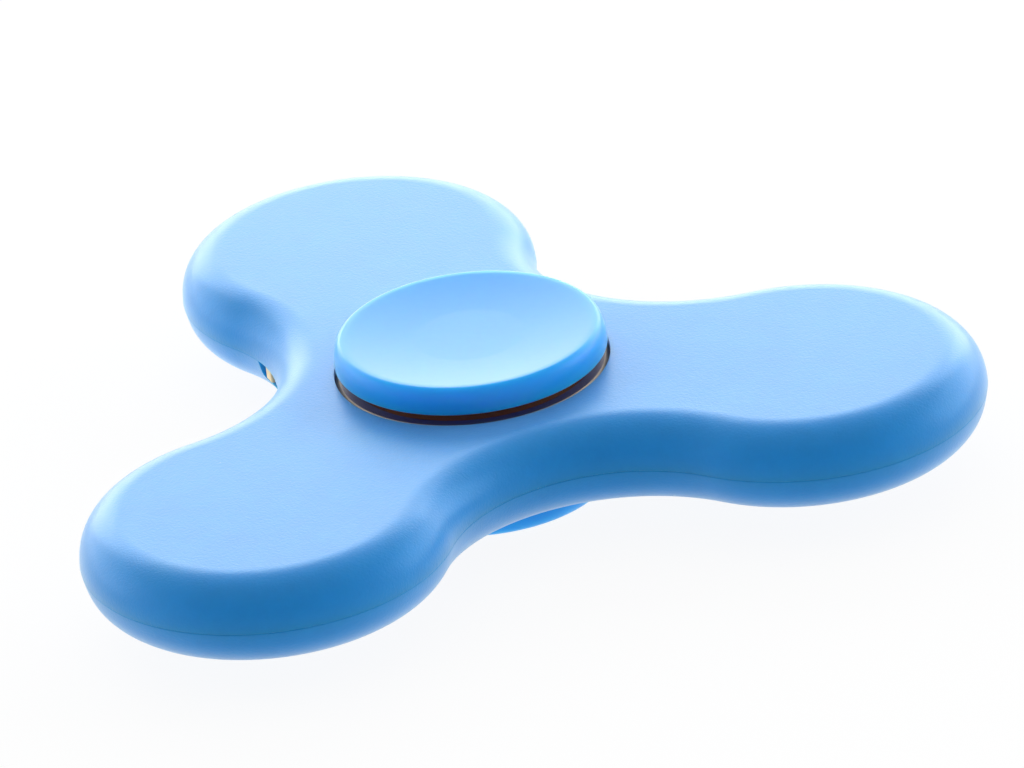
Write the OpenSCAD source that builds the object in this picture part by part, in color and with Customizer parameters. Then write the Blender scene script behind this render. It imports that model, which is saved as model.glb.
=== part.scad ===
// Light-up fidget spinner: a three-armed moulded body that turns on a ball bearing between two finger caps.
// The spin axis is Z. The origin is where the spin axis meets the surface that the lower cap stands on.

/* [Body] */
// Distance from the spin axis to the centre of each round lobe
arm_length = 26.1; // [25:0.1:34]
// Radius of each lobe at the parting line
lobe_radius = 14.7; // [12.2:0.1:18]
// Plastic between the bearing and the narrowest place of the outline
waist_margin = 5.3; // [4.8:0.1:7]
// Radius of the rounded rim of each half shell
edge_radius = 3.5; // [1.5:0.1:3.5]
// Thickness of the top and bottom walls
face_wall = 1.2; // [1:0.1:1.5]
// Thickness of the side wall at the parting line
side_wall = 1.9; // [1.7:0.1:2.3]
// Thickness of the ring wall around the bearing
pocket_wall = 1.2; // [0.9:0.1:1.3]
// Lean of the side walls away from the parting line, in degrees
side_draft = 3; // [0:0.5:5]
// Bevel of each half along the parting line
seam_bevel = 0.08; // [0.05:0.01:0.3]
// Bevel of the bearing hole where it meets the face
hole_bevel = 0.2; // [0.1:0.05:0.4]

/* [Bearing] */
// Bore of the inner ring
bearing_bore = 8; // [6.7:0.1:9.6]
// Outside diameter of the outer ring
bearing_od = 22; // [21:0.1:26.4]
// Width of both rings
bearing_width = 7; // [6:0.1:8.4]
// Diameter of each ball
ball_diameter = 3.969; // [3.5:0.001:4]
// Number of balls
ball_count = 7; // [5:1:8]
// Depth of the bearing's face below the face of the body
face_recess = 0.2; // [0.1:0.05:0.5]

/* [Finger caps] */
// Diameter of each cap at its lower edge
cap_diameter = 21.8; // [18:0.1:26]
// Thickness of each cap at its rim
cap_thickness = 2.2; // [1.9:0.1:2.8]
// Gap between a cap and the face of the body
cap_gap = 0.7; // [0.5:0.1:1.5]
// Radius of the curve of the finger dish
dish_curve = 70; // [50:1:120]
// Radius of the flat in the middle of the dish
dish_flat = 4.4; // [2:0.1:5.5]
// Width of the flat land on the rim
rim_land = 0.4; // [0.3:0.05:0.8]
// Width of the oval rounding outside the land
rim_width = 0.6; // [0.3:0.05:0.8]
// Height of the oval rounding outside the land
rim_height = 1.5; // [0.8:0.1:1.5]
// Diameter of the pin that joins the two caps
cap_pin_diameter = 4; // [3:0.1:5]

/* [Electronics] */
// Thickness of the circuit board
board_thickness = 0.8; // [0.6:0.1:1]
// Diameter of each coin cell
cell_diameter = 12.5; // [9.5:0.1:15]
// Thickness of each coin cell
cell_thickness = 2; // [1.6:0.1:2.4]
// Sheet thickness of the cell clips
clip_sheet = 0.25; // [0.15:0.05:0.3]
// Diameter of the pins that join the two half shells
shell_pin_diameter = 2; // [1.6:0.1:2.4]

/* [Switch] */
// Place of the switch on the waist arc, in degrees from the middle of the waist
switch_angle = 30; // [20:1:34]
// Travel of the switch knob
switch_travel = 2; // [1.5:0.1:2.4]
// Width of the switch knob
knob_width = 1.2; // [1:0.1:1.6]
// Height of the slot below the parting line
slot_height = 1.7; // [1.5:0.05:1.8]
// Depth of the knob's end below the outside of the body
knob_recess = 0.3; // [0.2:0.05:0.6]

/* [Hidden] */

$fn = 96;
arm_count = 3;
arm_step = 360 / arm_count;

// Clearances
press_fit = 0.02;
pin_end_gap = 0.1;
board_clearance = 0.3;
pin_hole_clearance = 0.2;
cell_clearance = 0.05;
cell_side_gap = 0.15;
cell_post_gap = 0.4;
clip_floor_gap = 0.2;
race_clearance = 0.035;
pocket_clearance = 0.06;
shield_gap = 0.2;
shield_play = 0.05;
slide_clearance = 0.15;
knob_top_gap = 0.12;
knob_end_gap = 0.35;

// How far a cut or a joined piece runs past the face that it crosses
overlap = 0.5;

// Levels above and below the parting plane, which is the middle of the body
cell_stack = cell_clearance + cell_thickness + clip_sheet + clip_floor_gap;
body_half = max(bearing_width / 2 + face_recess, cell_stack + face_wall);
bearing_half = bearing_width / 2;
cap_under = body_half + cap_gap;
cap_top = cap_under + cap_thickness;
cavity_half = body_half - face_wall;
middle = cap_top;

// Outline of the body: lobe arcs joined by waist arcs that are tangent to them
waist_radius = bearing_od / 2 + waist_margin;
waist_arc = (pow(arm_length, 2) + pow(waist_radius, 2) - arm_length * waist_radius - pow(lobe_radius, 2))
    / (arm_length + 2 * lobe_radius - 2 * waist_radius);
waist_centre = waist_radius + waist_arc;
join_angle = atan2(waist_centre * sin(arm_step / 2), waist_centre * cos(arm_step / 2) - arm_length);
lobe_steps = 32;
waist_steps = 16;
rim_steps = 8;
edge_round = min(edge_radius, body_half - seam_bevel);

// Bearing sections: races a little larger than the balls, and shields held in grooves of the outer ring
pitch_radius = (bearing_bore + bearing_od) / 4;
ball_radius = ball_diameter / 2;
race_conformity = 1.04;
race_radius = ball_radius * race_conformity;
race_shift = race_radius - ball_radius - race_clearance;
shoulder = 1.4;
inner_land = pitch_radius - shoulder;
outer_land = pitch_radius + shoulder;
ring_bevel = 0.35;
shield_sheet = 0.3;
shield_drop = 0.3;
shield_bore = inner_land + shield_gap;
shield_seat = bearing_half - shield_drop - 2 * shield_sheet - shield_play;
shield_ledge = 0.95;
shield_lip = outer_land + shield_ledge;
groove_depth = 0.25;
groove_height = shield_sheet + 3 * shield_play;
groove_bevel = 0.1;
shield_groove = shield_lip + groove_depth;

// Ball cage
cage_width = 1.2;
cage_floor = 0.35;
cage_top = 1.1;
cage_relief = 0.75;
cage_relief_lift = 0.2;

// Bearing pocket in the shells
hole_radius = bearing_od / 2 + press_fit;
pocket_radius = hole_radius + pocket_wall;

// Pins, sockets and the posts around them
pin_radius = shell_pin_diameter / 2;
pin_length = 1.6;
post_wall = 0.9;
post_radius = pin_radius + post_wall;
board_hole = pin_radius + pin_hole_clearance;
board_rim = 1;
board_margin = board_clearance + board_hole + board_rim;
inner_post = pocket_radius + board_margin;
outer_post = arm_length + lobe_radius - side_wall - board_margin;

// Finger caps
cap_stem = bearing_bore / 2 - press_fit;
boss_margin = 0.45;
cap_boss = inner_land - boss_margin;
cap_draft = 0.05;
cap_foot = cap_diameter / 2;
cap_head = cap_foot - cap_draft;
cap_foot_radius = 0.3;
stem_end = 0.15;
cap_pin_radius = cap_pin_diameter / 2;
cap_pin_length = 2.7;
cap_pin_bevel = 0.3;
cap_edge_steps = 8;
dish_steps = 8;
dish_radius = cap_head - rim_width - rim_land;

// Coin cells and their clips, each in the middle of its lobe or as near to it as the outer post allows
cell_radius = cell_diameter / 2;
cell_place = min(arm_length, outer_post - post_radius - cell_post_gap - cell_radius);
cell_edge = 0.3;
cell_edge_steps = 4;
cell_lid_margin = 1;
cell_lid_height = 0.25;
cell_lid_draft = 0.1;
clip_width = 5;
clip_foot = 1.6;

// Chip parts on the board
led_size = [3.5, 2.8, 0.7];
led_window = 1.15;
led_window_depth = 0.15;
resistor_size = [3.2, 1.6, 0.55];
resistor_end = 0.5;
resistor_raise = 0.05;
resistor_gap = 1.5;

// Slide switch, in its own frame: X along the slot, Y out of the body, Z up from the board's underside
switch_size = [6.6, 2.6, 1.2];
switch_sheet = 0.15;
switch_wall = 0.3;
switch_gap = 0.2;
switch_inset = side_wall + switch_gap;
slider_size = [2.8, 1.3, 0.68];
slider_front = -switch_wall - slide_clearance;
slider_top = -switch_wall - slide_clearance;
knob_head = 0.25;
knob_height = slot_height - slide_clearance - knob_top_gap;
slot_width = knob_width + switch_travel + 2 * knob_end_gap;
slot_corner = 0.6;
slot_corner_steps = 6;
slot_reach = 0.6;
terminal_size = [0.4, 0.9, 0.15];
terminal_places = [-2.25, 0.75, 2.25];

// Colours
shell_blue = [0.26, 0.56, 0.88];
cap_blue = [0.14, 0.5, 0.86];
steel = [0.72, 0.73, 0.74];
bright_steel = [0.82, 0.83, 0.84];
nylon_white = [0.9, 0.89, 0.84];
board_green = [0.1, 0.4, 0.22];
led_white = [0.95, 0.93, 0.8];
ceramic_black = [0.12, 0.12, 0.13];
knob_cream = [0.93, 0.86, 0.72];

// Points of an oval arc about a centre, ends included
function oval(centre, size, from, to, steps) = [
    for (i = [0:steps])
        let (a = from + (to - from) * i / steps)
        [centre[0] + size[0] * cos(a), centre[1] + size[1] * sin(a)]
];

// Points of a round arc about a centre, ends included
function arc(centre, radius, from, to, steps) = oval(centre, [radius, radius], from, to, steps);

// A point turned about the spin axis
function turned(p, a) = [p[0] * cos(a) - p[1] * sin(a), p[0] * sin(a) + p[1] * cos(a)];

// Points of one lobe arc, moved inwards by inset
function lobe_arc(inset) = arc([arm_length, 0], lobe_radius - inset, -join_angle, join_angle, lobe_steps);

// Points of the waist arc after a lobe, moved inwards by inset, without its two ends
function waist_points(inset) =
    let (half = arm_step / 2)
    let (sweep = join_angle - half)
    let (points = arc(turned([waist_centre, 0], half), waist_arc + inset,
        half + 180 + sweep, half + 180 - sweep, waist_steps))
    [for (i = [1:waist_steps - 1]) points[i]];

// The whole outline, moved inwards by inset
function outline(inset) = [
    for (k = [0:arm_count - 1])
        for (p = concat(lobe_arc(inset), waist_points(inset)))
            turned(p, k * arm_step)
];

// Inset and height of the rim of a half shell: bevel, leaning side wall and rounding up to the flat face
function rim_profile() =
    let (low = body_half - edge_round)
    let (tangent_height = low + edge_round * sin(side_draft))
    let (centre = [edge_round * cos(side_draft) + tangent_height * tan(side_draft), low])
    concat(
        [[seam_bevel, 0], [seam_bevel * tan(side_draft), seam_bevel]],
        arc(centre, edge_round, 180 - side_draft, 90, rim_steps)
    );

// Solid through a stack of outlines, one for each pair of inset and height, closed by flat faces
module lofted(profile) {
    rings = [for (s = profile) [for (p = outline(s[0])) [p[0], p[1], s[1]]]];
    n = len(rings[0]);
    top = len(rings) - 1;
    points = concat([for (r = rings) each r], [[0, 0, profile[0][1]], [0, 0, profile[top][1]]]);
    low_point = n * len(rings);
    sides = [
        for (j = [0:top - 1])
            for (i = [0:n - 1])
                let (a = j * n + i)
                let (b = j * n + (i + 1) % n)
                each [[a, a + n, b], [b, a + n, b + n]]
    ];
    bottom = [for (i = [0:n - 1]) [low_point, i, (i + 1) % n]];
    lid = [for (i = [0:n - 1]) [low_point + 1, top * n + (i + 1) % n, top * n + i]];
    polyhedron(points, concat(sides, bottom, lid), convexity = 6);
}

// Children repeated on the three arms
module each_arm() {
    for (k = [0:arm_count - 1])
        rotate(k * arm_step)
            children();
}

// Children at every joining pin
module each_post() {
    each_arm()
        for (x = [inner_post, outer_post])
            translate([x, 0, 0])
                children();
}

// Flat shape of the hollow inside the body, around the bearing pocket
module cavity_shape() {
    difference() {
        polygon(outline(side_wall));
        circle(pocket_radius);
    }
}

// Flat shape of the posts
module post_shape() {
    each_post()
        circle(post_radius);
}

// Hole through the middle with a small bevel at the face
module bearing_hole() {
    translate([0, 0, -overlap])
        cylinder(r = hole_radius, h = body_half + 2 * overlap);
    translate([0, 0, body_half - hole_bevel])
        cylinder(r1 = hole_radius, r2 = hole_radius + hole_bevel + overlap, h = hole_bevel + overlap);
}

// One half of the body before its hollow is cut
module half_shell() {
    difference() {
        lofted(rim_profile());
        bearing_hole();
    }
}

// Children in the frame of the switch, on the waist between the second and third arms
module at_switch() {
    translate([-waist_centre + waist_arc * cos(switch_angle), waist_arc * sin(switch_angle), 0])
        rotate(90 + switch_angle)
            children();
}

// Slot in the side wall for the knob, square at the parting line and round at its lower corners
module switch_slot() {
    half = slot_width / 2;
    low = -slot_height + slot_corner;
    points = concat(
        [[half, overlap], [-half, overlap]],
        arc([-half + slot_corner, low], slot_corner, 180, 270, slot_corner_steps),
        arc([half - slot_corner, low], slot_corner, 270, 360, slot_corner_steps)
    );
    at_switch()
        translate([0, side_wall, 0])
            rotate([90, 0, 0])
                linear_extrude(2 * side_wall + slot_reach)
                    polygon(points);
}

module upper_shell() {
    color(shell_blue)
        translate([0, 0, middle]) {
            difference() {
                half_shell();
                translate([0, 0, -overlap])
                    linear_extrude(overlap + board_thickness)
                        cavity_shape();
                linear_extrude(cavity_half)
                    difference() {
                        cavity_shape();
                        post_shape();
                    }
            }
            each_post()
                translate([0, 0, -pin_length])
                    cylinder(r = pin_radius, h = pin_length + board_thickness + overlap);
        }
}

module lower_shell() {
    color(shell_blue)
        translate([0, 0, middle])
            difference() {
                mirror([0, 0, 1])
                    half_shell();
                translate([0, 0, -cavity_half])
                    linear_extrude(cavity_half + overlap)
                        difference() {
                            cavity_shape();
                            post_shape();
                        }
                each_post()
                    translate([0, 0, -pin_length - pin_end_gap])
                        cylinder(r = pin_radius + press_fit, h = pin_length + overlap);
                switch_slot();
            }
}

// Height of the dish's curve above its lowest point, which the flat cuts off
function dish_rise(r) = dish_curve - sqrt(pow(dish_curve, 2) - pow(r, 2));

// Half section of a finger cap above the bearing face, from its boss over the rim to the middle of the dish
function cap_section() = concat(
    [[cap_stem, stem_end], [cap_stem, bearing_half], [cap_boss, bearing_half], [cap_boss, cap_under]],
    arc([cap_foot - cap_foot_radius, cap_under + cap_foot_radius], cap_foot_radius, -90, 0, cap_edge_steps),
    oval([cap_head - rim_width, cap_top - rim_height], [rim_width, rim_height], 0, 90, cap_edge_steps),
    [for (i = [0:dish_steps])
        let (r = dish_radius + (dish_flat - dish_radius) * i / dish_steps)
        [r, cap_top - dish_rise(dish_radius) + dish_rise(r)]],
    [[0, cap_top - dish_rise(dish_radius) + dish_rise(dish_flat)]]
);

module upper_finger_cap() {
    tip = stem_end - cap_pin_length;
    pin = [[0, tip], [cap_pin_radius - cap_pin_bevel, tip], [cap_pin_radius, tip + cap_pin_bevel],
        [cap_pin_radius, stem_end]];
    color(cap_blue)
        translate([0, 0, middle])
            rotate_extrude()
                polygon(concat(pin, cap_section()));
}

module lower_finger_cap() {
    socket_radius = cap_pin_radius + press_fit;
    socket_end = cap_pin_length + pin_end_gap - stem_end;
    socket = [[0, socket_end], [socket_radius, socket_end], [socket_radius, stem_end]];
    color(cap_blue)
        translate([0, 0, middle])
            mirror([0, 0, 1])
                rotate_extrude()
                    polygon(concat(socket, cap_section()));
}

// Upper half of a ring section joined to its mirror image below
function mirrored_section(half) = concat(
    half,
    [for (i = [len(half) - 1:-1:0]) [half[i][0], -half[i][1]]]
);

module bearing_inner_ring() {
    bore = bearing_bore / 2;
    half = [[inner_land, shield_seat], [inner_land, bearing_half - ring_bevel / 2],
        [inner_land - ring_bevel / 2, bearing_half], [bore + ring_bevel, bearing_half],
        [bore, bearing_half - ring_bevel]];
    color(steel)
        translate([0, 0, middle])
            rotate_extrude()
                difference() {
                    polygon(mirrored_section(half));
                    translate([pitch_radius + race_shift, 0])
                        circle(race_radius);
                }
}

module bearing_outer_ring() {
    rim = bearing_od / 2;
    half = [[outer_land, shield_seat], [shield_groove, shield_seat],
        [shield_groove, shield_seat + groove_height],
        [shield_lip, shield_seat + groove_height + groove_bevel],
        [shield_lip, bearing_half], [rim - ring_bevel, bearing_half], [rim, bearing_half - ring_bevel]];
    color(steel)
        translate([0, 0, middle])
            rotate_extrude()
                difference() {
                    polygon(mirrored_section(half));
                    translate([pitch_radius - race_shift, 0])
                        circle(race_radius);
                }
}

// Pressed sheet ring: its outer edge sits in the groove of the outer ring and its web covers the balls
module bearing_shield() {
    low = shield_seat + shield_play;
    high = bearing_half - shield_drop;
    edge = shield_groove - shield_play;
    step = shield_lip - 2 * shield_play;
    color(bright_steel)
        rotate_extrude()
            polygon([[edge, low], [edge, low + shield_sheet], [step, low + shield_sheet], [step, high],
                [shield_bore, high], [shield_bore, high - shield_sheet],
                [step - shield_sheet, high - shield_sheet], [step - shield_sheet, low]]);
}

module upper_bearing_shield() {
    translate([0, 0, middle])
        bearing_shield();
}

module lower_bearing_shield() {
    translate([0, 0, middle])
        mirror([0, 0, 1])
            bearing_shield();
}

// Children at every ball
module each_ball() {
    for (i = [0:ball_count - 1])
        rotate(i * 360 / ball_count)
            translate([pitch_radius, 0, 0])
                children();
}

module bearing_balls() {
    color(bright_steel)
        translate([0, 0, middle])
            each_ball()
                sphere(ball_radius);
}

// Crown cage: a ring below the balls whose prongs reach up between them
module ball_cage() {
    pocket = ball_radius + pocket_clearance;
    low = -pocket - cage_floor;
    color(nylon_white)
        translate([0, 0, middle])
            difference() {
                rotate_extrude()
                    translate([pitch_radius - cage_width / 2, low])
                        square([cage_width, cage_top - low]);
                each_ball()
                    sphere(pocket);
                rotate(180 / ball_count)
                    each_ball()
                        translate([-cage_width / 2 - overlap, 0, cage_top + cage_relief_lift])
                            rotate([0, 90, 0])
                                cylinder(r = cage_relief, h = cage_width + 2 * overlap);
            }
}

module circuit_board() {
    color(board_green)
        translate([0, 0, middle])
            linear_extrude(board_thickness)
                difference() {
                    polygon(outline(side_wall + board_clearance));
                    circle(pocket_radius + board_clearance);
                    each_post()
                        circle(board_hole);
                }
}

// Children at the cell's place in lobe k, with X away from the spin axis
module on_lobe(k) {
    translate([0, 0, middle])
        rotate(k * arm_step)
            translate([cell_place, 0, 0])
                children();
}

// Coin cell: a can with a rounded lower edge and a smaller lid that faces the board
module coin_cell(k) {
    high = -cell_clearance;
    low = high - cell_thickness;
    shoulder_level = high - cell_lid_height;
    lid = cell_radius - cell_lid_margin;
    color(steel)
        on_lobe(k)
            rotate_extrude()
                polygon(concat(
                    [[0, low]],
                    arc([cell_radius - cell_edge, low + cell_edge], cell_edge, -90, 0, cell_edge_steps),
                    [[cell_radius, shoulder_level - cell_edge], [cell_radius - cell_edge, shoulder_level],
                        [lid, shoulder_level], [lid - cell_lid_draft, high], [0, high]]
                ));
}

// Spring clip: one bent strip that hangs below the board and holds a cell against it
module cell_clip(k) {
    inner = cell_radius + cell_side_gap;
    outer = inner + clip_sheet;
    toe = outer + clip_foot;
    low = -cell_clearance - cell_thickness;
    color(bright_steel)
        on_lobe(k)
            rotate([90, 0, 90])
                translate([0, 0, -clip_width / 2])
                    linear_extrude(clip_width)
                        polygon([[-toe, 0], [-toe, -clip_sheet], [-outer, -clip_sheet],
                            [-outer, low - clip_sheet], [outer, low - clip_sheet], [outer, -clip_sheet],
                            [toe, -clip_sheet], [toe, 0], [inner, 0], [inner, low],
                            [-inner, low], [-inner, 0]]);
}

// Surface-mounted lamp with a round window in its top
module led(k) {
    color(led_white)
        on_lobe(k)
            translate([0, 0, board_thickness])
                difference() {
                    translate([-led_size[0] / 2, -led_size[1] / 2, 0])
                        cube(led_size);
                    translate([0, 0, led_size[2] - led_window_depth])
                        cylinder(r = led_window, h = led_window_depth + overlap);
                }
}

// Chip resistor with raised metal ends
module resistor(k) {
    length = resistor_size[0];
    high = resistor_size[2];
    waist = high - resistor_raise;
    color(ceramic_black)
        on_lobe(k)
            translate([-led_size[0] / 2 - resistor_gap - resistor_size[1], -length / 2, board_thickness])
                rotate([90, 0, 90])
                    linear_extrude(resistor_size[1])
                        polygon([[0, 0], [length, 0], [length, high], [length - resistor_end, high],
                            [length - resistor_end, waist], [resistor_end, waist],
                            [resistor_end, high], [0, high]]);
}

// Children in the frame of the switch housing, whose front face is at Y = 0
module in_switch() {
    translate([0, 0, middle])
        at_switch()
            translate([0, -switch_inset, 0])
                children();
}

// Moulded tray of the switch, open below and at the front where the knob comes out
module switch_base() {
    room = [slider_size[0] + switch_travel, slider_size[1]];
    mouth = knob_width + switch_travel + 2 * slide_clearance;
    cut_height = switch_size[2] - switch_wall + overlap;
    color(ceramic_black)
        in_switch()
            difference() {
                translate([-switch_size[0] / 2, -switch_size[1], -switch_size[2]])
                    cube(switch_size);
                translate([-room[0] / 2 - slide_clearance, slider_front - room[1] - slide_clearance,
                    -switch_size[2] - overlap])
                    cube([room[0] + 2 * slide_clearance, room[1] + 2 * slide_clearance, cut_height]);
                translate([-mouth / 2, slider_front, -switch_size[2] - overlap])
                    cube([mouth, overlap - slider_front, cut_height]);
            }
}

// Bent steel sheet that closes the tray from below and is soldered to the board at both ends
module switch_cover() {
    inner = switch_size[0] / 2;
    outer = inner + switch_sheet;
    low = -switch_size[2];
    color(bright_steel)
        in_switch()
            rotate([90, 0, 0])
                linear_extrude(switch_size[1])
                    polygon([[-outer, 0], [-outer, low - switch_sheet], [outer, low - switch_sheet],
                        [outer, 0], [inner, 0], [inner, low], [-inner, low], [-inner, 0]]);
}

module switch_terminals() {
    color(bright_steel)
        in_switch()
            for (x = terminal_places)
                translate([x - terminal_size[0] / 2, -switch_size[1] - terminal_size[1], -terminal_size[2]])
                    cube(terminal_size);
}

// Slider inside the tray, its neck, and the knob that reaches into the slot, at the end of its travel
module switch_knob() {
    low = slider_top - slider_size[2];
    knob_end = switch_inset - knob_recess;
    color(knob_cream)
        in_switch()
            translate([switch_travel / 2, 0, 0]) {
                translate([-slider_size[0] / 2, slider_front - slider_size[1], low])
                    cube(slider_size);
                translate([-knob_width / 2, slider_front - overlap, low])
                    cube([knob_width, knob_head - slider_front + 2 * overlap, slider_size[2]]);
                translate([-knob_width / 2, knob_head, -knob_top_gap - knob_height])
                    cube([knob_width, knob_end - knob_head, knob_height]);
            }
}

upper_finger_cap();
lower_finger_cap();
upper_shell();
lower_shell();
bearing_inner_ring();
bearing_outer_ring();
upper_bearing_shield();
lower_bearing_shield();
ball_cage();
bearing_balls();
circuit_board();
for (k = [0:arm_count - 1]) {
    coin_cell(k);
    cell_clip(k);
    led(k);
    resistor(k);
}
switch_base();
switch_cover();
switch_terminals();
switch_knob();
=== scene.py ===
"""Looks of a light-up fidget spinner on its CAD frame, laid out as a Blender add-on.

The half shells, the finger caps and the switch knob are modelled here. The bearing and the electronics keep
their CAD shapes and get their finishes.
"""

import math

import bmesh
import bpy
from bpy.props import FloatProperty, FloatVectorProperty, PointerProperty
from mathutils import Matrix, Vector


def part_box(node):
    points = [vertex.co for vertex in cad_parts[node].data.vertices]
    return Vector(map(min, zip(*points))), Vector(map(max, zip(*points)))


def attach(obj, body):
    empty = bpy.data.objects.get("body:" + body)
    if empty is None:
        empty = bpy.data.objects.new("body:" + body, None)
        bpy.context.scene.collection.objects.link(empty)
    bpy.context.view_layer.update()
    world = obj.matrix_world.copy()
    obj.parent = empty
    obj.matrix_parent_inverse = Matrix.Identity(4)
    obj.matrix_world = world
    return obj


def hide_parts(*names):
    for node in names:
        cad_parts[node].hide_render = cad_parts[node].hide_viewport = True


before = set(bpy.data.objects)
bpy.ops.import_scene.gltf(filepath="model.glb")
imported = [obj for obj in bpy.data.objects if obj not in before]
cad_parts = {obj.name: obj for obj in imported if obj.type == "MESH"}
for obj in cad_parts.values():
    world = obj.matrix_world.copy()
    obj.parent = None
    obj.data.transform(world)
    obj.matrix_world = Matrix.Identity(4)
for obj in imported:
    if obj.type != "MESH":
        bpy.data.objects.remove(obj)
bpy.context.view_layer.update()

bl_info = {
    "name": "Fidget spinner",
    "version": (1, 0, 0),
    "blender": (4, 5, 0),
    "location": "View3D > Sidebar > Spinner",
    "description": "Models a light-up fidget spinner on its CAD frame and sets it in a white studio",
    "category": "Object",
}

MM = 0.001

# Levels and radii that the frame gives, with all heights but the first taken from the parting plane
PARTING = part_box("lower_shell")[1].z
BODY_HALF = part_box("upper_shell")[1].z - PARTING
SHELL_PIN_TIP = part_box("upper_shell")[0].z - PARTING
BOARD_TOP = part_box("circuit_board")[1].z - PARTING
CAP_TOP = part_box("upper_finger_cap")[1].z - PARTING
CAP_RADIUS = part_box("upper_finger_cap")[1].x
CAP_PIN_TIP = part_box("upper_finger_cap")[0].z - PARTING
RING_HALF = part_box("bearing_outer_ring")[1].z - PARTING
RING_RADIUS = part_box("bearing_outer_ring")[1].x

ARM_COUNT = 3
ARM_STEP = math.tau / ARM_COUNT
# Standard bore of the bearing
BORE_RADIUS = 4 * MM
# Gap of a press fit, and room beyond the tip of a pin
PRESS_FIT = 0.02 * MM
PIN_ROOM = 0.1 * MM
# Vertices nearer than this are one
MERGE = 0.001 * MM
# Narrow strip of a flat face beside a rounding, which keeps the shading of the two apart
SUPPORT = 0.12 * MM

# Faces along curves
LOBE_STEPS = 72
WAIST_STEPS = 36
RIM_STEPS = 20
SEAM_STEPS = 4
LIP_STEPS = 6
CAP_STEPS = 144
CAP_RIM_STEPS = 18
DISH_STEPS = 24
POST_STEPS = 32
KNOB_STEPS = 3
SHARP_ANGLE = math.radians(32)

# Floor from its middle to its edge in metres, and width of the camera's sensor in millimetres
FLOOR_HALF = 3
SENSOR_WIDTH = 36
# Share of plain white in what the floor shows, with its shading as the rest
SHOWN_WHITE = 0.92
# Where the room's light ends, as cosines of the angle from the ceiling's middle and from straight sideways
CEILING_EDGE = 0.5
SIDE_EDGE = 0.65


def linear(hex_code):
    """Linear red, green and blue of an sRGB hex value."""
    parts = [int(hex_code[i : i + 2], 16) / 255 for i in (1, 3, 5)]
    return tuple(c / 12.92 if c <= 0.04045 else ((c + 0.055) / 1.055) ** 2.4 for c in parts)


def length(name, description, millimetres):
    """A length property whose default is given in millimetres."""
    return FloatProperty(
        name=name, description=description, default=millimetres * MM, precision=5, unit="LENGTH"
    )


def turn(name, description, degrees):
    """An angle property whose default is given in degrees."""
    return FloatProperty(
        name=name, description=description, default=math.radians(degrees), subtype="ANGLE"
    )


def colour(name, description, hex_code):
    """A colour property whose default is given as an sRGB hex value."""
    return FloatVectorProperty(
        name=name, description=description, default=linear(hex_code), min=0, max=1, subtype="COLOR"
    )


def strength(name, description, factor):
    """A plain factor of light."""
    return FloatProperty(name=name, description=description, default=factor)


def lamp_power(name, description, watts):
    """A lamp's power, whose default is given in watts."""
    return FloatProperty(name=name, description=description, default=watts, unit="POWER")


class SpinnerBody(bpy.types.PropertyGroup):
    """Sizes of the two half shells."""

    arm_length: length("Arm length", "Spin axis to the centre of each lobe", 26.1)
    lobe_radius: length("Lobe radius", "Radius of each lobe at the parting line", 14.7)
    waist_radius: length("Waist radius", "Spin axis to the narrowest place of the outline", 16.3)
    edge_radius: length("Edge radius", "Radius of the rounded rim of each half", 3.5)
    face_wall: length("Face wall", "Thickness of the top and bottom walls", 1.2)
    side_wall: length("Side wall", "Thickness of the side wall at the parting line", 1.9)
    pocket_wall: length("Pocket wall", "Thickness of the wall around the bearing", 1.2)
    upper_draft: turn("Upper draft", "Lean of the upper half's side walls away from the parting line", 5)
    lower_draft: turn("Lower draft", "Lean of the lower half's side walls away from the parting line", 12)
    upper_seam: length("Upper seam", "Rounding of the upper half along the parting line", 0.02)
    lower_seam: length("Lower seam", "Rounding of the lower half along the parting line", 0.1)
    lip_round: length("Lip rounding", "Rounding of the bearing hole at the face", 0.03)
    pin_radius: length("Pin radius", "Radius of the pins that join the halves", 1.0)
    post_radius: length("Post radius", "Radius of the posts that carry the pins", 1.9)
    inner_post: length("Inner post", "Spin axis to the inner post of each arm", 14.72)
    outer_post: length("Outer post", "Spin axis to the outer post of each arm", 36.4)


class SpinnerCaps(bpy.types.PropertyGroup):
    """Sizes of the two finger caps."""

    thickness: length("Thickness", "Height of the cap at its rim", 2.2)
    draft: length("Draft", "How far the side leans in from its foot to its head", 0.05)
    rim_width: length("Rim width", "Width of the oval rounding of the outer edge", 0.7)
    rim_height: length("Rim height", "Height of the oval rounding of the outer edge", 1.5)
    foot_radius: length("Foot radius", "Rounding of the lower edge", 0.3)
    crest_radius: length("Crest radius", "Rounding where the dish runs out into the rim", 3.0)
    crest_place: length("Crest place", "Spin axis to the highest place of the rim", 10.1)
    dish_curve: length("Dish curve", "Radius of the curve of the finger dish", 70)
    flat_radius: length("Flat radius", "Radius of the flatter middle of the dish", 4.4)
    flat_curve: length("Flat curve", "Radius of the slight curve of the flatter middle", 140)
    flat_round: length("Flat rounding", "Rounding where the flatter middle runs out into the dish", 12)
    boss_radius: length("Boss radius", "Radius of the boss on the bearing's inner ring", 5.65)
    stem_end: length("Stem end", "Half of the gap between the two stems", 0.15)
    pin_radius: length("Pin radius", "Radius of the pin that joins the caps", 2.0)
    pin_bevel: length("Pin bevel", "Bevel at the pin's tip", 0.3)


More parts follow.
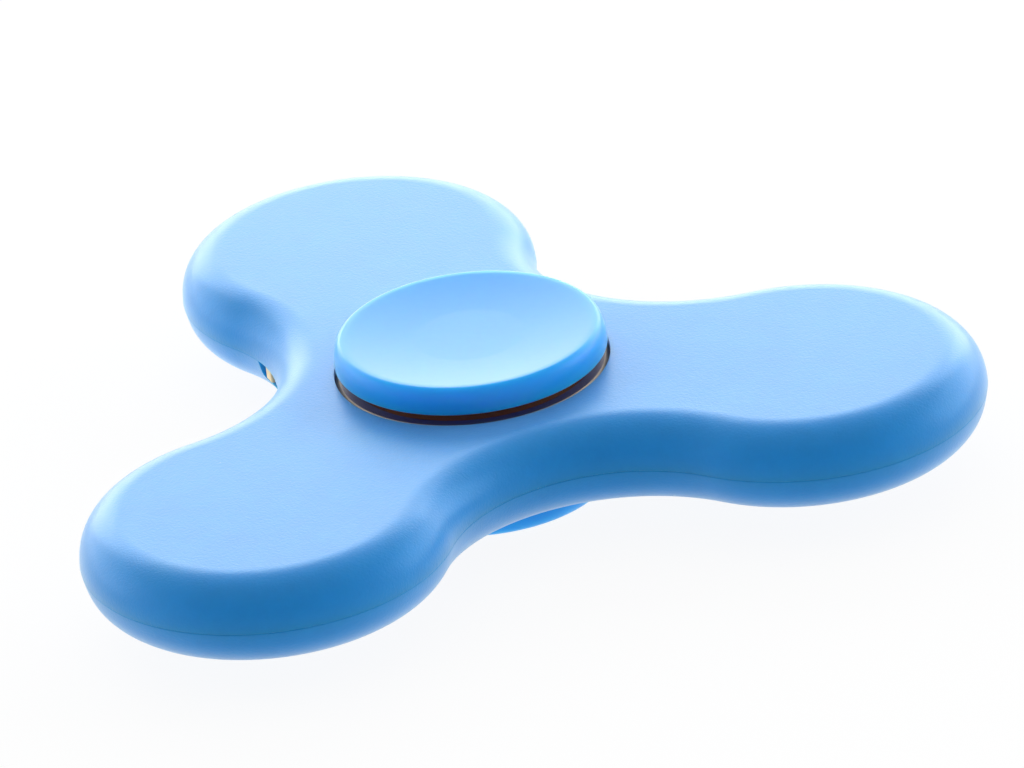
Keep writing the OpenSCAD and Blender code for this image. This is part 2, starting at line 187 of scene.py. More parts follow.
class SpinnerSwitch(bpy.types.PropertyGroup):
    """Place and sizes of the slide switch's slot and knob."""

    angle: turn("Angle", "Place on the waist, from the middle of the waist arc", 30)
    slot_width: length("Slot width", "Length of the slot along the parting line", 3.9)
    slot_height: length("Slot height", "Depth of the slot below the parting line", 1.7)
    slot_corner: length("Slot corner", "Rounding of the lower corners of the slot", 0.6)
    travel: length("Travel", "Travel of the knob", 2.0)
    knob_width: length("Knob width", "Width of the knob along the slot", 1.2)
    knob_height: length("Knob height", "Height of the knob", 1.43)
    knob_drop: length("Knob drop", "Parting line to the top of the knob", 0.12)
    knob_recess: length("Knob recess", "Outside of the wall to the end of the knob", 0.3)
    knob_reach: length("Knob reach", "Length of the knob that stands out of the switch", 1.55)
    knob_round: length("Knob rounding", "Rounding of the knob's edges", 0.14)
    slider_width: length("Slider width", "Length of the slider in the switch", 2.8)
    slider_depth: length("Slider depth", "Depth of the slider in the switch", 1.3)
    slider_height: length("Slider height", "Height of the slider in the switch", 0.68)
    slider_drop: length("Slider drop", "Parting line to the top of the slider", 0.45)
    slider_place: length("Slider place", "Outside of the wall to the front of the slider", 2.55)


class SpinnerColours(bpy.types.PropertyGroup):
    """Colours of the finishes."""

    shell: colour("Shell", "Textured plastic of the half shells", "#148BD9")
    cap: colour("Caps", "Polished plastic of the finger caps", "#14A4F0")
    shell_sheen: colour("Shell sheen", "Tint of the shells' reflections seen square on", "#8ACFFF")
    cap_sheen: colour("Cap sheen", "Tint of the caps' reflections seen square on", "#A8A0FF")
    shell_haze: colour("Shell haze", "Tint of the pale haze of the shells' grain seen aslant", "#DAF1FF")
    dust: colour("Dust", "Specks of dust and lint", "#D6E6F4")
    ring: colour("Bearing rings", "Ground bearing steel", "#968A7C")
    shield: colour("Bearing shields", "Zinc-plated steel with a yellow-brown passivation", "#BC7838")
    ball: colour("Balls", "Polished bearing steel", "#C9CACC")
    cage: colour("Ball cage", "Natural nylon", "#E4DFCF")
    mask: colour("Circuit board", "Solder mask over glass laminate", "#14603A")
    track: colour("Tracks", "Solder mask over copper", "#2A7D4C")
    nickel: colour("Nickel", "Nickel-plated steel of cells and clips", "#C4C2BC")
    tin: colour("Tin", "Tinned ends and terminals", "#CFD0D2")
    lamp: colour("Lamp", "White moulded lamp housing", "#EFEBDD")
    phosphor: colour("Phosphor", "Yellow phosphor in the lamp's window", "#E3B83A")
    ceramic: colour("Resistor", "Glazed black face of a chip resistor", "#1D1D20")
    tray: colour("Switch tray", "Black glass-filled nylon", "#232325")
    knob: colour("Switch knob", "Cream acetal", "#EBD5A8")
    floor: colour("Floor", "Matt white floor", "#F4F5F6")


class SpinnerStage(bpy.types.PropertyGroup):
    """Camera and light."""

    heading: turn("Heading", "Turn of the camera about the spin axis", 10.753)
    elevation: turn("Elevation", "Height of the camera above the horizon", 26.76)
    roll: turn("Roll", "Turn of the camera about its line of sight", -6.317)
    distance: length("Distance", "Camera to the middle of the body", 583.18)
    shift_right: length("Aim to the right", "How far the camera stands right of the body's middle", 2.811)
    shift_up: length("Aim upwards", "How far the camera stands above the body's middle", 1.449)
    lens: length("Lens", "Focal length on a sensor of 36 mm", 257.62)
    room_elevation: turn("Room elevation", "Height of the lit ceiling's middle above the horizon behind", 85)
    room_light: strength("Room light", "Light from the room's ceiling", 1.1)
    side_light: strength("Side light", "Light from the room's left and right", 1.8)
    table_glow: strength("Table glow", "Share of its own light in what the table sends to the object", 0.9)
    far_glow: strength("Far glow", "Table's own light behind the object, as a multiple of that in front", 2.6)
    far_start: length("Far glow start", "Where the table begins to grow brighter, behind the spin axis", -20)
    far_end: length("Far glow end", "Where the table has grown brightest, behind the spin axis", 80)
    softbox_distance: length("Softbox distance", "Lamps to the object", 620)
    back_width: length("Back softbox width", "Width of the lamp behind the object", 800)
    back_height: length("Back softbox height", "Height of the lamp behind the object", 530)
    back_elevation: turn("Back softbox elevation", "Height of the lamp above the horizon", 22.5)
    back_power: lamp_power("Back softbox power", "Power of the lamp behind the object", 3.8)
    side_width: length("Side softbox width", "Width of the lamps beside the object", 900)
    side_height: length("Side softbox height", "Height of the lamps beside the object", 520)
    side_elevation: turn("Side softbox elevation", "Height of the lamps above the horizon", 14)
    left_angle: turn("Left softbox angle", "Turn of the left lamp from the back lamp", 52)
    left_power: lamp_power("Left softbox power", "Power of the lamp on the left", 2.0)
    right_angle: turn("Right softbox angle", "Turn of the right lamp from the back lamp", 60)
    right_power: lamp_power("Right softbox power", "Power of the lamp on the right", 3.0)


# Drawing and joining meshes


class Pen:
    """Draws one line of vertices in the XZ plane of a new bmesh, in straight runs and arcs."""

    def __init__(self, x, z):
        self.bm = bmesh.new()
        self.tip = self.bm.verts.new((x, 0, z))

    def to(self, x, z):
        """A straight run to a point."""
        self.tip = bmesh.ops.extrude_vert_indiv(self.bm, verts=[self.tip])["verts"][0]
        self.tip.co = (x, 0, z)

    def bend(self, x, z, degrees, steps, squeeze=1.0):
        """An arc about a point, anticlockwise with X to the right and Z up, squeezed along X to an oval."""
        before = len(self.bm.verts)
        angle = math.radians(degrees)
        made = bmesh.ops.spin(
            self.bm, geom=[self.tip], cent=(x, 0, z), axis=(0, -1, 0), angle=angle, steps=steps
        )
        self.tip = next(v for v in made["geom_last"] if isinstance(v, bmesh.types.BMVert))
        self.bm.verts.ensure_lookup_table()
        bmesh.ops.scale(
            self.bm, vec=(squeeze, 1, 1), space=Matrix.Translation((-x, 0, -z)), verts=self.bm.verts[before:]
        )


def close(bm):
    """Merges what meets and turns the faces outwards."""
    bmesh.ops.remove_doubles(bm, verts=bm.verts, dist=MERGE)
    bmesh.ops.recalc_face_normals(bm, faces=bm.faces)
    return bm


def revolved(pen, steps):
    """The pen's line turned once about the spin axis."""
    line = pen.bm.verts[:] + pen.bm.edges[:]
    bmesh.ops.spin(pen.bm, geom=line, axis=(0, 0, 1), angle=math.tau, steps=steps, use_merge=True)
    return close(pen.bm)


def mirrored(bm):
    """The same shape below the parting plane."""
    bmesh.ops.scale(bm, vec=(1, 1, -1), verts=bm.verts)
    bmesh.ops.recalc_face_normals(bm, faces=bm.faces)
    return bm


def add_copy(bm, part, matrix):
    """Adds a copy of another bmesh, moved by a matrix."""
    mesh = bpy.data.meshes.new("copy")
    part.to_mesh(mesh)
    mesh.transform(matrix)
    bm.from_mesh(mesh)
    bpy.data.meshes.remove(mesh)


def new_object(name, bm):
    """An object at the origin whose mesh is the bmesh, raised to the parting plane."""
    bmesh.ops.translate(bm, vec=(0, 0, PARTING), verts=bm.verts)
    mesh = bpy.data.meshes.new(name)
    bm.to_mesh(mesh)
    bm.free()
    made = bpy.data.objects.new(name, mesh)
    bpy.context.scene.collection.objects.link(made)
    return made


def smooth(piece):
    """Smooth shading, broken at sharp edges."""
    piece.data.shade_smooth()
    piece.data.set_sharp_from_angle(angle=SHARP_ANGLE)


def place(piece, material, body, node):
    """Gives a piece its material, lets it ride on its body and hides the CAD node that it stands for."""
    smooth(piece)
    piece.data.materials.clear()
    piece.data.materials.append(material)
    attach(piece, body)
    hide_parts(node)


def finish_nodes(material, *names):
    """Gives CAD nodes a material."""
    for name in names:
        node_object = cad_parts[name]
        if not node_object.material_slots:
            node_object.data.materials.append(material)
        for slot in node_object.material_slots:
            slot.material = material


# Materials


def add_node(tree, kind, inputs, **settings):
    """Adds a node with its settings, and fills each input with a value or a link."""
    made = tree.nodes.new(kind)
    for name, value in settings.items():
        setattr(made, name, value)
    for name, value in inputs.items():
        if isinstance(value, bpy.types.NodeSocket):
            tree.links.new(value, made.inputs[name])
        else:
            made.inputs[name].default_value = value
    return made


def new_material(name, **inputs):
    """A material with a principled shader whose plain inputs are given, and its object coordinates."""
    material = bpy.data.materials.new(name)
    material.use_nodes = True
    tree = material.node_tree
    tree.nodes.clear()
    shader = add_node(tree, "ShaderNodeBsdfPrincipled", {k.replace("_", " "): v for k, v in inputs.items()})
    add_node(tree, "ShaderNodeOutputMaterial", {"Surface": shader.outputs["BSDF"]})
    where = add_node(tree, "ShaderNodeTexCoord", {}).outputs["Object"]
    return material, tree, shader, where


def feed(tree, shader, **sources):
    """Links sources to the shader's inputs of the same names."""
    for name, source in sources.items():
        tree.links.new(source, shader.inputs[name.replace("_", " ")])


def rgba(value, share=1.0):
    """A colour property at a share of its brightness, with full opacity."""
    return (*(c * share for c in value), 1.0)


def textured_abs(colours):
    """Injection-moulded ABS from a spark-eroded mould.

    Its satin grain looks paler seen aslant, and light soaks in and softens the edges.
    """
    material, tree, shader, where = new_material(
        "textured_abs",
        IOR=1.53,
        Specular_Tint=rgba(colours.shell_sheen),
        Subsurface_Weight=0.5,
        Sheen_Weight=0.75,
        Sheen_Roughness=0.45,
        Sheen_Tint=rgba(colours.shell_haze),
        Subsurface_Radius=(0.3, 0.7, 0.8),
        Subsurface_Scale=3.0 * MM,
    )
    # Flow clouds of 9 mm that break up into a speckle of about 0.15 mm
    cloud = 9 * MM
    clouds = add_node(
        tree, "ShaderNodeTexNoise", {"Vector": where, "Scale": 1 / cloud, "Detail": 6.0, "Roughness": 0.85}
    )
    deep, pale = rgba(colours.shell, 0.8), rgba(colours.shell, 1.1)
    tone = add_node(tree, "ShaderNodeMix", {0: clouds.outputs["Fac"], 6: deep, 7: pale}, data_type="RGBA")
    # Dust specks up to about 0.3 mm wide, most of them far smaller, because each cell has a size of its own
    cell = 3.4 * MM
    largest = 0.17 * MM
    rarity = 5.0
    cover = 0.8
    spots = add_node(tree, "ShaderNodeTexVoronoi", {"Vector": where, "Scale": 1 / cell})
    chance = add_node(tree, "ShaderNodeSeparateColor", {"Color": spots.outputs["Color"]})
    share = add_node(tree, "ShaderNodeMath", {0: chance.outputs["Red"], 1: rarity}, operation="POWER")
    speck = add_node(tree, "ShaderNodeMath", {0: share.outputs[0], 1: largest / cell}, operation="MULTIPLY")
    near = add_node(
        tree,
        "ShaderNodeMapRange",
        {"Value": spots.outputs["Distance"], "From Max": speck.outputs[0], "To Min": cover, "To Max": 0.0},
    )
    speckled = add_node(
        tree,
        "ShaderNodeMix",
        {0: near.outputs["Result"], 6: tone.outputs[2], 7: rgba(colours.dust)},
        data_type="RGBA",
    )
    patch = 3 * MM
    wear = add_node(tree, "ShaderNodeTexNoise", {"Vector": where, "Scale": 1 / patch, "Detail": 2.0})
    gloss = add_node(
        tree, "ShaderNodeMapRange", {"Value": wear.outputs["Fac"], "To Min": 0.285, "To Max": 0.34}
    )
    # The real grain is finer: it is drawn at about 0.2 mm, so that it shows in a picture of the whole object
    grit, depth = 0.2 * MM, 0.018 * MM
    grain = add_node(
        tree, "ShaderNodeTexNoise", {"Vector": where, "Scale": 1 / grit, "Detail": 2.0, "Roughness": 0.6}
    )
    bump = add_node(
        tree, "ShaderNodeBump", {"Height": grain.outputs["Fac"], "Strength": 1.0, "Distance": depth}
    )
    feed(tree, shader, Base_Color=speckled.outputs[2], Roughness=gloss.outputs[0], Normal=bump.outputs[0])
    return material


def polished_abs(colours):
    """ABS from a polished mould: a glossier skin with a slow orange-peel wave and faint finger wear."""
    material, tree, shader, where = new_material(
        "polished_abs",
        IOR=1.53,
        Specular_Tint=rgba(colours.cap_sheen),
        Subsurface_Weight=1.0,
        Sheen_Weight=0.25,
        Sheen_Roughness=0.4,
        Subsurface_Radius=(0.2, 0.7, 1.0),
        Subsurface_Scale=3.5 * MM,
    )
    cloud, patch, wave, depth = 5 * MM, 1.2 * MM, 0.7 * MM, 0.003 * MM
    clouds = add_node(tree, "ShaderNodeTexNoise", {"Vector": where, "Scale": 1 / cloud, "Detail": 2.0})
    deep, pale = rgba(colours.cap, 0.95), rgba(colours.cap)
    tone = add_node(tree, "ShaderNodeMix", {0: clouds.outputs["Fac"], 6: deep, 7: pale}, data_type="RGBA")
    wear = add_node(
        tree, "ShaderNodeTexNoise", {"Vector": where, "Scale": 1 / patch, "Detail": 4.0, "Roughness": 0.65}
    )
    gloss = add_node(
        tree, "ShaderNodeMapRange", {"Value": wear.outputs["Fac"], "To Min": 0.285, "To Max": 0.33}
    )
    peel = add_node(tree, "ShaderNodeTexNoise", {"Vector": where, "Scale": 1 / wave, "Detail": 1.0})
    bump = add_node(
        tree, "ShaderNodeBump", {"Height": peel.outputs["Fac"], "Strength": 1.0, "Distance": depth}
    )
    feed(tree, shader, Base_Color=tone.outputs[2], Roughness=gloss.outputs[0], Normal=bump.outputs[0])
    return material


def turned_metal(name, metal, line, low, high, depth):
    """Metal turned, ground or drawn in circles about the spin axis: fine rings of changing gloss."""
    material, tree, shader, where = new_material(name, Metallic=1.0)
    flat = add_node(tree, "ShaderNodeVectorMath", {0: where, 1: (1, 1, 0)}, operation="MULTIPLY")
    radius = add_node(tree, "ShaderNodeVectorMath", {0: flat.outputs[0]}, operation="LENGTH")
    rings = add_node(
        tree,
        "ShaderNodeTexNoise",
        {"W": radius.outputs["Value"], "Scale": 1 / line, "Detail": 3.0},
        noise_dimensions="1D",
    )
    patch = 2.5 * MM
    film = add_node(tree, "ShaderNodeTexNoise", {"Vector": where, "Scale": 1 / patch, "Detail": 3.0})
    dull, bare = rgba(metal, 0.8), rgba(metal)
    tone = add_node(tree, "ShaderNodeMix", {0: film.outputs["Fac"], 6: dull, 7: bare}, data_type="RGBA")
    height = rings.outputs["Fac"]
    gloss = add_node(tree, "ShaderNodeMapRange", {"Value": height, "To Min": low, "To Max": high})
    bump = add_node(tree, "ShaderNodeBump", {"Height": height, "Strength": 1.0, "Distance": depth})
    feed(tree, shader, Base_Color=tone.outputs[2], Roughness=gloss.outputs[0], Normal=bump.outputs[0])
    return material


def rolled_metal(name, metal, low, high):
    """Plated sheet metal: straight rolling marks under a thin bright plating."""
    material, tree, shader, where = new_material(name, Metallic=1.0)
    # Marks of 0.08 mm, 25 times as long as wide
    mark, stretch = 0.08 * MM, (1, 0.04, 1)
    along = add_node(tree, "ShaderNodeMapping", {"Vector": where, "Scale": stretch}).outputs["Vector"]
    marks = add_node(tree, "ShaderNodeTexNoise", {"Vector": along, "Scale": 1 / mark, "Detail": 3.0})
    dull, bare = rgba(metal, 0.85), rgba(metal)
    tone = add_node(tree, "ShaderNodeMix", {0: marks.outputs["Fac"], 6: dull, 7: bare}, data_type="RGBA")
    gloss = add_node(
        tree, "ShaderNodeMapRange", {"Value": marks.outputs["Fac"], "To Min": low, "To Max": high}
    )
    feed(tree, shader, Base_Color=tone.outputs[2], Roughness=gloss.outputs[0])
    return material


def moulded_plastic(name, plastic, grain, low, high):
    """Small moulded plastic piece: an even colour with slight flow marks and a fine mould grain."""
    material, tree, shader, where = new_material(name, IOR=1.5)
    flow_size, depth = 8 * grain, grain / 40
    flow = add_node(tree, "ShaderNodeTexNoise", {"Vector": where, "Scale": 1 / flow_size, "Detail": 3.0})
    deep, pale = rgba(plastic, 0.88), rgba(plastic)
    tone = add_node(tree, "ShaderNodeMix", {0: flow.outputs["Fac"], 6: deep, 7: pale}, data_type="RGBA")
    skin = add_node(tree, "ShaderNodeTexNoise", {"Vector": where, "Scale": 1 / grain, "Detail": 2.0})
    height = skin.outputs["Fac"]
    gloss = add_node(tree, "ShaderNodeMapRange", {"Value": height, "To Min": low, "To Max": high})
    bump = add_node(tree, "ShaderNodeBump", {"Height": height, "Strength": 1.0, "Distance": depth})
    feed(tree, shader, Base_Color=tone.outputs[2], Roughness=gloss.outputs[0], Normal=bump.outputs[0])
    return material


def solder_mask(colours):
    """Printed board: green lacquer, paler over the copper tracks that it covers."""
    material, tree, shader, where = new_material("solder_mask", IOR=1.55)
    copper = rgba(colours.track)
    layout = {"Scale": 1.0, "Mortar Size": 0.35 * MM, "Brick Width": 7 * MM, "Row Height": 1.1 * MM}
    tracks = add_node(
        tree,
        "ShaderNodeTexBrick",
        {"Vector": where, "Color1": copper, "Color2": copper, "Mortar": rgba(colours.mask), **layout},
    )
    thread, depth = 0.4 * MM, 0.02 * MM
    weave = add_node(tree, "ShaderNodeTexNoise", {"Vector": where, "Scale": 1 / thread, "Detail": 2.0})
    gloss = add_node(
        tree, "ShaderNodeMapRange", {"Value": weave.outputs["Fac"], "To Min": 0.2, "To Max": 0.34}
    )
    bump = add_node(
        tree, "ShaderNodeBump", {"Height": tracks.outputs["Fac"], "Strength": 1.0, "Distance": depth}
    )
    feed(tree, shader, Base_Color=tracks.outputs[0], Roughness=gloss.outputs[0], Normal=bump.outputs[0])
    return material


def two_tone_chip(name, above, below, level, low, high):
    """Chip part of two materials that meet at a height: lamp and window, or resistor and tinned ends."""
    material, tree, shader, where = new_material(name, IOR=1.5)
    height = add_node(tree, "ShaderNodeSeparateXYZ", {"Vector": where}).outputs["Z"]
    upper = add_node(tree, "ShaderNodeMath", {0: height, 1: level}, operation="GREATER_THAN").outputs[0]
    tone = add_node(tree, "ShaderNodeMix", {0: upper, 6: rgba(below), 7: rgba(above)}, data_type="RGBA")
    grit = 0.15 * MM
    skin = add_node(tree, "ShaderNodeTexNoise", {"Vector": where, "Scale": 1 / grit, "Detail": 2.0})
    gloss = add_node(
        tree, "ShaderNodeMapRange", {"Value": skin.outputs["Fac"], "To Min": low, "To Max": high}
    )
    feed(tree, shader, Base_Color=tone.outputs[2], Roughness=gloss.outputs[0])
    return material


# Half shells


def outline_arcs(body):
    """Arcs of one arm, a lobe and the waist after it, each as centre, turn and steps.

    Also the lobe's half turn and the waist's radius.
    """
    arm, lobe, waist = body.arm_length, body.lobe_radius, body.waist_radius
    waist_arc = (arm**2 + waist**2 - arm * waist - lobe**2) / (arm + 2 * lobe - 2 * waist)
    waist_centre = Matrix.Rotation(ARM_STEP / 2, 3, "Z") @ Vector((waist + waist_arc, 0, 0))
    lobe_centre = Vector((arm, 0, 0))
    reach = waist_centre - lobe_centre
    half_turn = math.atan2(reach.y, reach.x)
    arcs = (
        (lobe_centre, 2 * half_turn, LOBE_STEPS),
        (waist_centre, -2 * (half_turn - ARM_STEP / 2), WAIST_STEPS),
    )
    return arcs, half_turn, waist_arc


def swept_rim(body, lean, seam):
    """The wall's section, from flat face over rim to the ceiling inside, carried round the outline."""
    arcs, half_turn, _ = outline_arcs(body)
    tip = body.arm_length + body.lobe_radius
    inside = tip - body.side_wall
    edge = body.edge_radius
    # The side leans in from the parting line, with a rounding at its foot and the rim above on its tangent
    foot = tip - seam * (1 + math.sin(lean)) / math.cos(lean)
    edge_level = BODY_HALF - edge
    edge_middle = tip - (edge_level + edge * math.sin(lean)) * math.tan(lean) - edge * math.cos(lean)
    pen = Pen(edge_middle - SUPPORT, BODY_HALF)
    pen.to(edge_middle, BODY_HALF)
    pen.bend(edge_middle, edge_level, math.degrees(lean) - 90, RIM_STEPS)
    pen.to(foot + seam * math.cos(lean), seam + seam * math.sin(lean))
    pen.bend(foot, seam, -90 - math.degrees(lean), SEAM_STEPS)
    pen.to(inside, 0)
    pen.to(inside, BODY_HALF - body.face_wall)
    bm = pen.bm
    bmesh.ops.rotate(bm, cent=arcs[0][0], matrix=Matrix.Rotation(-half_turn, 3, "Z"), verts=bm.verts)
    line = bm.verts[:] + bm.edges[:]
    for arm in range(ARM_COUNT):
        for centre, angle, steps in arcs:
            here = Matrix.Rotation(arm * ARM_STEP, 3, "Z") @ centre
            made = bmesh.ops.spin(bm, geom=line, cent=here, axis=(0, 0, 1), angle=angle, steps=steps)
            line = made["geom_last"]
    return close(bm)


def open_edges(bm, height):
    """Edges at a height that have a face on one side only."""
    return [e for e in bm.edges if e.is_boundary and all(abs(v.co.z - height) < MERGE for v in e.verts)]


def ring_onwards(bm, edges, radius, height):
    """Extrudes a closed row of edges to a circle about the spin axis, each vertex in its own direction."""
    made = bmesh.ops.extrude_edge_only(bm, edges=edges)["geom"]
    moved = {v for v in made if isinstance(v, bmesh.types.BMVert)}
    for vert in moved:
        across = vert.co.xy.normalized() * radius
        vert.co = (across.x, across.y, height)
    return [e for e in made if isinstance(e, bmesh.types.BMEdge) and moved.issuperset(e.verts)]


def half_shell(body, lean, seam):
    """The upper half as one closed hollow form: rim, flat face, bearing hole with a lip, pocket wall."""
    bm = swept_rim(body, lean, seam)
    hole = RING_RADIUS + PRESS_FIT
    pocket = hole + body.pocket_wall
    ceiling = BODY_HALF - body.face_wall
    edges = open_edges(bm, BODY_HALF)
    edges = ring_onwards(bm, edges, hole + body.lip_round + SUPPORT, BODY_HALF)
    lip = ring_onwards(bm, edges, hole, BODY_HALF)
    edges = ring_onwards(bm, lip, hole, 0)
    edges = ring_onwards(bm, edges, pocket, 0)
    ring_onwards(bm, edges, pocket, ceiling)
    bmesh.ops.bridge_loops(bm, edges=open_edges(bm, ceiling))
    bmesh.ops.bevel(
        bm, geom=lip, offset=body.lip_round, segments=LIP_STEPS, profile=0.5, affect="EDGES", material=-1
    )
    return close(bm)


def add_posts(bm, post, body, parting):
    """Adds the post to both places of each arm, for a parting plane at a height."""
    for arm in range(ARM_COUNT):
        around = Matrix.Rotation(arm * ARM_STEP, 4, "Z")
        for distance in (body.inner_post, body.outer_post):
            add_copy(bm, post, around @ Matrix.Translation((distance, 0, parting)))
    post.free()


def pin_post(body):
    """A post under the upper face that ends in a bevelled pin."""
    bevel = body.pin_radius / 4
    root = BODY_HALF - body.face_wall / 2
    pen = Pen(0, SHELL_PIN_TIP)
    pen.to(body.pin_radius - bevel, SHELL_PIN_TIP)
    pen.to(body.pin_radius, SHELL_PIN_TIP + bevel)
    pen.to(body.pin_radius, BOARD_TOP)
    pen.to(body.post_radius, BOARD_TOP)
    pen.to(body.post_radius, root)
    pen.to(0, root)
    return revolved(pen, POST_STEPS)


def socket_post(body):
    """A post on the lower face with a hole for the pin."""
    root = body.face_wall / 2 - BODY_HALF
    bore = body.pin_radius + PRESS_FIT
    pen = Pen(0, SHELL_PIN_TIP - PIN_ROOM)
    pen.to(bore, SHELL_PIN_TIP - PIN_ROOM)
    pen.to(bore, 0)
    pen.to(body.post_radius, 0)
    pen.to(body.post_radius, root)
    pen.to(0, root)
    return revolved(pen, POST_STEPS)


def switch_frame(body, switch):
    """Frame of the switch at the parting plane: X along the slot, Y out of the wall."""
    _, _, waist_arc = outline_arcs(body)
    across = Matrix.Rotation(switch.angle, 4, "Z") @ Vector((waist_arc, 0, 0))
    middle = Vector((-body.waist_radius - waist_arc, 0, 0)) + across
    return Matrix.Translation(middle) @ Matrix.Rotation(math.pi / 2 + switch.angle, 4, "Z")


def slot_cutter(body, switch):
    """Block with two round lower edges that cuts the slot through the wall."""
    bm = bmesh.new()
    bmesh.ops.create_cube(bm, size=1)
    # Long enough to pass the wall on both sides, and half of it above the parting plane
    size = (switch.slot_width, 4 * body.side_wall, 2 * switch.slot_height)
    bmesh.ops.scale(bm, vec=size, verts=bm.verts)
    low = [e for e in bm.edges if all(v.co.z < 0 for v in e.verts) and e.verts[0].co.x * e.verts[1].co.x > 0]
    bmesh.ops.bevel(
        bm, geom=low, offset=switch.slot_corner, segments=LIP_STEPS, profile=0.5, affect="EDGES", material=-1
    )
    bmesh.ops.transform(bm, matrix=switch_frame(body, switch), verts=bm.verts)
    return new_object("slot_cutter", bm)


def cut(piece, cutter):
    """Takes the cutter's form out of a piece for good."""
    boolean = piece.modifiers.new("slot", "BOOLEAN")
    boolean.object = cutter
    boolean.operation = "DIFFERENCE"
    boolean.solver = "EXACT"
    bpy.context.view_layer.update()
    whole = piece.data
    shown = piece.evaluated_get(bpy.context.evaluated_depsgraph_get())
    piece.data = bpy.data.meshes.new_from_object(shown)
    piece.modifiers.clear()
    piece.data.name = piece.name
    bpy.data.meshes.remove(whole)
    bpy.data.objects.remove(cutter)


class SPINNER_OT_shells(bpy.types.Operator):
    """Model the two half shells of the body"""

    bl_idname = "spinner.shells"
    bl_label = "Half shells"

    def execute(self, context):
        body = context.scene.spinner_body
        switch = context.scene.spinner_switch
        plastic = textured_abs(context.scene.spinner_colours)
        upper_bm = half_shell(body, body.upper_draft, body.upper_seam)
        add_posts(upper_bm, pin_post(body), body, 0)
        upper = new_object("housing_upper_half", upper_bm)
        lower_bm = mirrored(half_shell(body, body.lower_draft, body.lower_seam))
        lower = new_object("housing_lower_half", lower_bm)
        # The slot is cut before the posts come, because the cut needs a mesh that nowhere meets itself
        cut(lower, slot_cutter(body, switch))
        lower_bm = bmesh.new()
        lower_bm.from_mesh(lower.data)
        add_posts(lower_bm, socket_post(body), body, PARTING)
        lower_bm.to_mesh(lower.data)
        lower_bm.free()
        place(upper, plastic, "rotor", "upper_shell")
        place(lower, plastic, "rotor", "lower_shell")
        return {"FINISHED"}


# Finger caps


def meeting_point(level_a, radius_a, level_b, radius_b):
    """Where two circles about points of the spin axis meet, as X and Z."""
    z = (radius_b**2 - radius_a**2 + level_a**2 - level_b**2) / (2 * (level_a - level_b))
    return math.sqrt(radius_a**2 - (z - level_a) ** 2), z


def cap_outside(caps):
    """Draws the cap from the middle of its dish over rim and foot to the stem in the bearing's bore."""
    head = CAP_RADIUS - caps.draft
    under = CAP_TOP - caps.thickness
    ball = caps.dish_curve
    crest = CAP_TOP - caps.crest_radius
    # The dish is a ball's surface that meets the round crest of the rim on a common tangent
    run_out = math.asin(caps.crest_place / (ball + caps.crest_radius))
    ball_level = crest + (ball + caps.crest_radius) * math.cos(run_out)
    # The middle is part of a larger ball that meets the first one at the flat's radius, with a rounding
    flat = caps.flat_curve
    edge_level = ball_level - math.sqrt(ball**2 - caps.flat_radius**2)
    flat_level = edge_level + math.sqrt(flat**2 - caps.flat_radius**2)
    round_x, round_z = meeting_point(flat_level, flat - caps.flat_round, ball_level, ball - caps.flat_round)
    first_turn = math.asin(round_x / (flat - caps.flat_round))
    last_turn = math.asin(round_x / (ball - caps.flat_round))
    pen = Pen(0, flat_level - flat)
    pen.bend(0, flat_level, math.degrees(first_turn), LIP_STEPS)
    pen.bend(round_x, round_z, math.degrees(last_turn - first_turn), LIP_STEPS)
    pen.bend(0, ball_level, math.degrees(run_out - last_turn), DISH_STEPS)
    pen.bend(caps.crest_place, crest, -math.degrees(run_out), LIP_STEPS)
    pen.to(head - caps.rim_width, CAP_TOP)
    squeeze = caps.rim_width / caps.rim_height
    pen.bend(head - caps.rim_width, CAP_TOP - caps.rim_height, -90, CAP_RIM_STEPS, squeeze)
    pen.to(CAP_RADIUS, under + caps.foot_radius)
    pen.bend(CAP_RADIUS - caps.foot_radius, under + caps.foot_radius, -90, LIP_STEPS)
    pen.to(caps.boss_radius, under)
    pen.to(caps.boss_radius, RING_HALF)
    pen.to(BORE_RADIUS - PRESS_FIT, RING_HALF)
    pen.to(BORE_RADIUS - PRESS_FIT, caps.stem_end)
    return pen


def upper_cap(caps):
    """The upper cap with its joining pin."""
    pen = cap_outside(caps)
    pen.to(caps.pin_radius, caps.stem_end)
    pen.to(caps.pin_radius, CAP_PIN_TIP + caps.pin_bevel)
    pen.to(caps.pin_radius - caps.pin_bevel, CAP_PIN_TIP)
    pen.to(0, CAP_PIN_TIP)
    return revolved(pen, CAP_STEPS)


def lower_cap(caps):
    """The lower cap with the socket for the pin, drawn upright and then mirrored."""
    socket = caps.pin_radius + PRESS_FIT
    socket_end = PIN_ROOM - CAP_PIN_TIP
    pen = cap_outside(caps)
    pen.to(socket, caps.stem_end)
    pen.to(socket, socket_end)
    pen.to(0, socket_end)
    return mirrored(revolved(pen, CAP_STEPS))


class SPINNER_OT_finger_caps(bpy.types.Operator):
    """Model the two finger caps"""

    bl_idname = "spinner.finger_caps"
    bl_label = "Finger caps"

    def execute(self, context):
        caps = context.scene.spinner_caps
        plastic = polished_abs(context.scene.spinner_colours)
        place(new_object("finger_cap_upper", upper_cap(caps)), plastic, "hub", "upper_finger_cap")
        place(new_object("finger_cap_lower", lower_cap(caps)), plastic, "hub", "lower_finger_cap")
        return {"FINISHED"}


# Bearing


